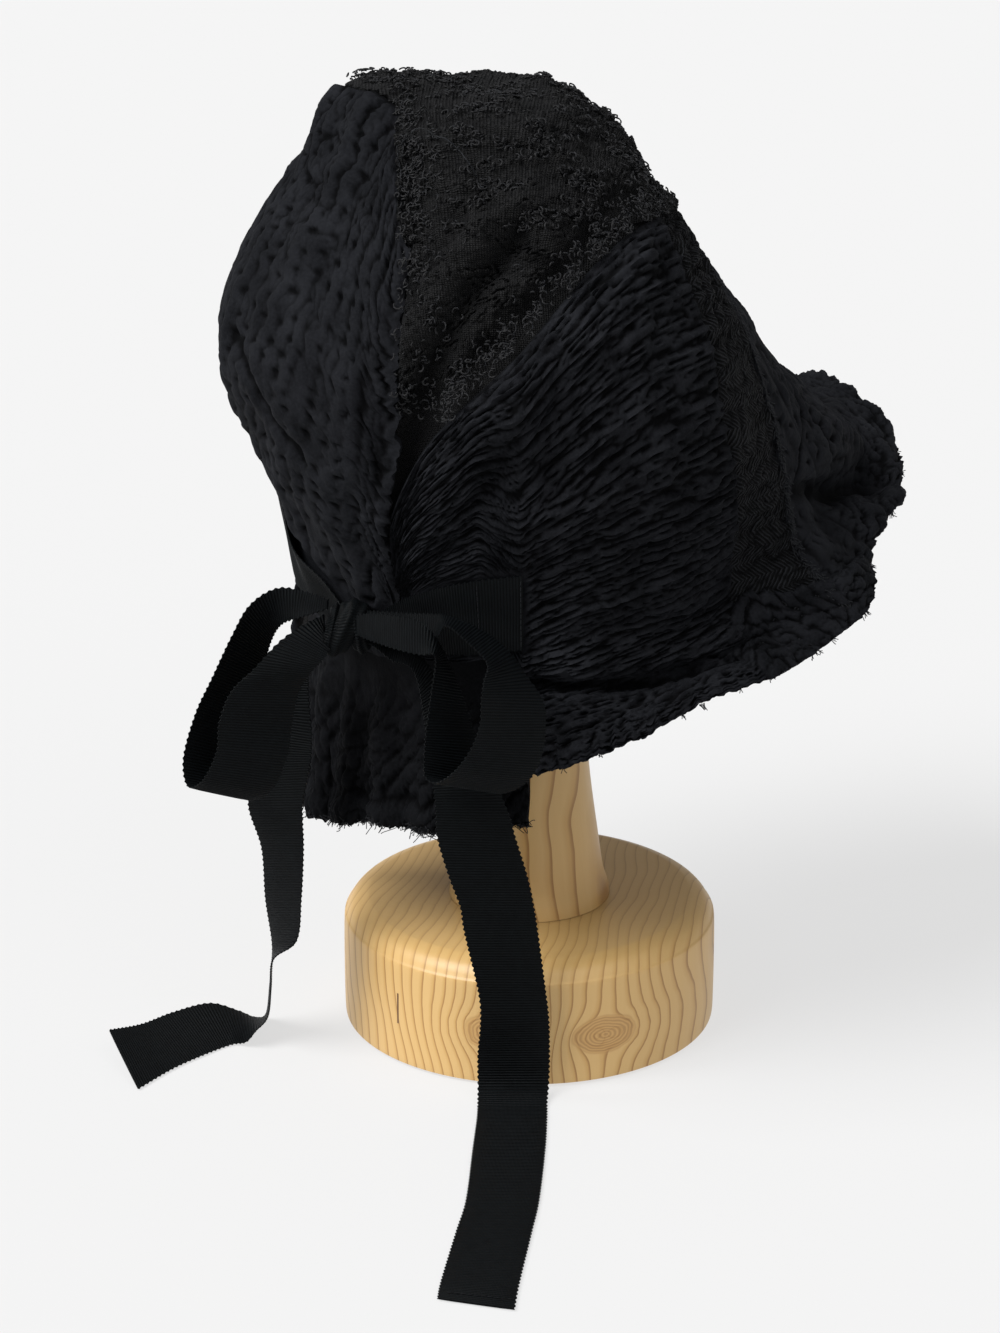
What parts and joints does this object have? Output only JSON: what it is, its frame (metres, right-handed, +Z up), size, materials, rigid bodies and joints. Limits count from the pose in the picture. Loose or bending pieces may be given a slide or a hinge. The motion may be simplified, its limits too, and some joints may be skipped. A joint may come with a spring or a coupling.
{
  "type": "patched cloth bonnet with ribbon bow on a turned wooden display stand",
  "caption": "Black patched cloth bonnet with a rough looped crown, wide wavy brim, gathered nape curtain and grosgrain bow, on a plain turned pine hat stand.",
  "frame": {"origin": "middle of the underside of the round stand base, on the stand axis at table height", "axes": "+Z up along the stand, -Y towards the front of the hat, +X towards the wearer's left"},
  "size_m": [0.3225, 0.3493, 0.3848],
  "materials": {
    "back_panel": "matt quilted cotton, crinkled and stitched",
    "side_panel_right": "matt quilted cotton, crinkled and stitched",
    "front_side_panel_right": "matt quilted cotton, crinkled and stitched",
    "front_panel": "matt quilted cotton, crinkled and stitched",
    "front_side_panel_left": "matt quilted cotton, crinkled and stitched",
    "side_panel_left": "matt quilted cotton, crinkled and stitched",
    "nape_curtain": "matt quilted cotton, crinkled and stitched",
    "crown_boucle_panel": "rough looped knit",
    "weave_gore_right": "zigzag woven cloth",
    "weave_gore_left": "zigzag woven cloth",
    "ribbon_band_right": "ribbed grosgrain ribbon",
    "ribbon_band_left": "ribbed grosgrain ribbon",
    "bow_knot": "ribbed grosgrain ribbon",
    "bow_loop_right": "ribbed grosgrain ribbon",
    "bow_loop_left": "ribbed grosgrain ribbon",
    "ribbon_tail_right": "ribbed grosgrain ribbon",
    "ribbon_tail_left": "ribbed grosgrain ribbon",
    "stand_base": "oiled pine, satin",
    "stand_post": "oiled pine, satin",
    "stand_head": "oiled pine, satin"
  },
  "bodies": {
    "root": {"crown_boucle_panel": "crown_boucle_panel", "back_panel": "back_panel", "side_panel_right": "side_panel_right", "weave_gore_right": "weave_gore_right", "front_side_panel_right": "front_side_panel_right", "front_panel": "front_panel", "front_side_panel_left": "front_side_panel_left", "weave_gore_left": "weave_gore_left", "side_panel_left": "side_panel_left", "nape_curtain": "nape_curtain", "ribbon_band_right": "ribbon_band_right", "ribbon_band_left": "ribbon_band_left", "bow_knot": "bow_knot", "bow_loop_right": "bow_loop_right", "bow_loop_left": "bow_loop_left", "ribbon_tail_right": "ribbon_tail_right", "ribbon_tail_left": "ribbon_tail_left", "stand_base": "stand_base", "stand_post": "stand_post", "stand_head": "stand_head"}
  },
  "joints": []
}
